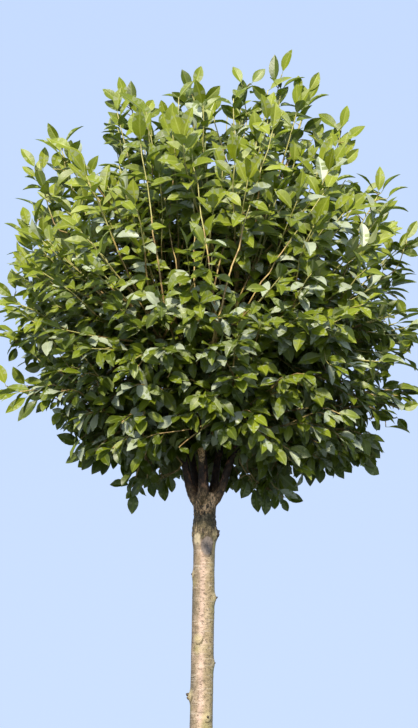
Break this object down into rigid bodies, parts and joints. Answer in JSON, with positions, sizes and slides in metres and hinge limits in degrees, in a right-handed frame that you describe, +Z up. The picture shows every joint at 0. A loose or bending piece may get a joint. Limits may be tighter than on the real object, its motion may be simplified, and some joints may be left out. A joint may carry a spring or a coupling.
{
  "type": "potted standard dwarf cherry",
  "caption": "Dwarf cherry grown as a standard: a round leafy crown grafted on a clean upright stem, in a plain round pot.",
  "frame": {"origin": "centre of the pot's flat underside", "axes": "+Z up along the stem, -Y towards the viewer, +X to the viewer's right"},
  "size_m": [1.0198, 1.0145, 2.9308],
  "materials": {
    "terracotta": "matt",
    "compost": "matt",
    "bark": "rough",
    "leaf": "satin"
  },
  "bodies": {
    "root": {"bough_back_left": "bark", "bough_back_left_rising": "bark", "bough_back_left_spreading": "bark", "bough_back_right": "bark", "bough_back_right_rising": "bark", "bough_back_right_spreading": "bark", "bough_front": "bark", "bough_front_rising": "bark", "bough_front_spreading": "bark", "bough_leader": "bark", "bough_left": "bark", "bough_left_rising": "bark", "bough_left_spreading": "bark", "bough_right": "bark", "bough_right_rising": "bark", "bough_right_spreading": "bark", "bough_top_1": "bark", "bough_top_2": "bark", "bough_top_3": "bark", "foliage_back_left_rising": "leaf", "foliage_back_left_spreading": "leaf", "foliage_back_right_rising": "leaf", "foliage_back_right_spreading": "leaf", "foliage_front_rising": "leaf", "foliage_front_spreading": "leaf", "foliage_left_rising": "leaf", "foliage_left_spreading": "leaf", "foliage_right_rising": "leaf", "foliage_right_spreading": "leaf", "foliage_top_1": "leaf", "foliage_top_2": "leaf", "foliage_top_3": "leaf", "pot": "terracotta", "soil": "compost", "trunk": "bark"}
  },
  "joints": []
}
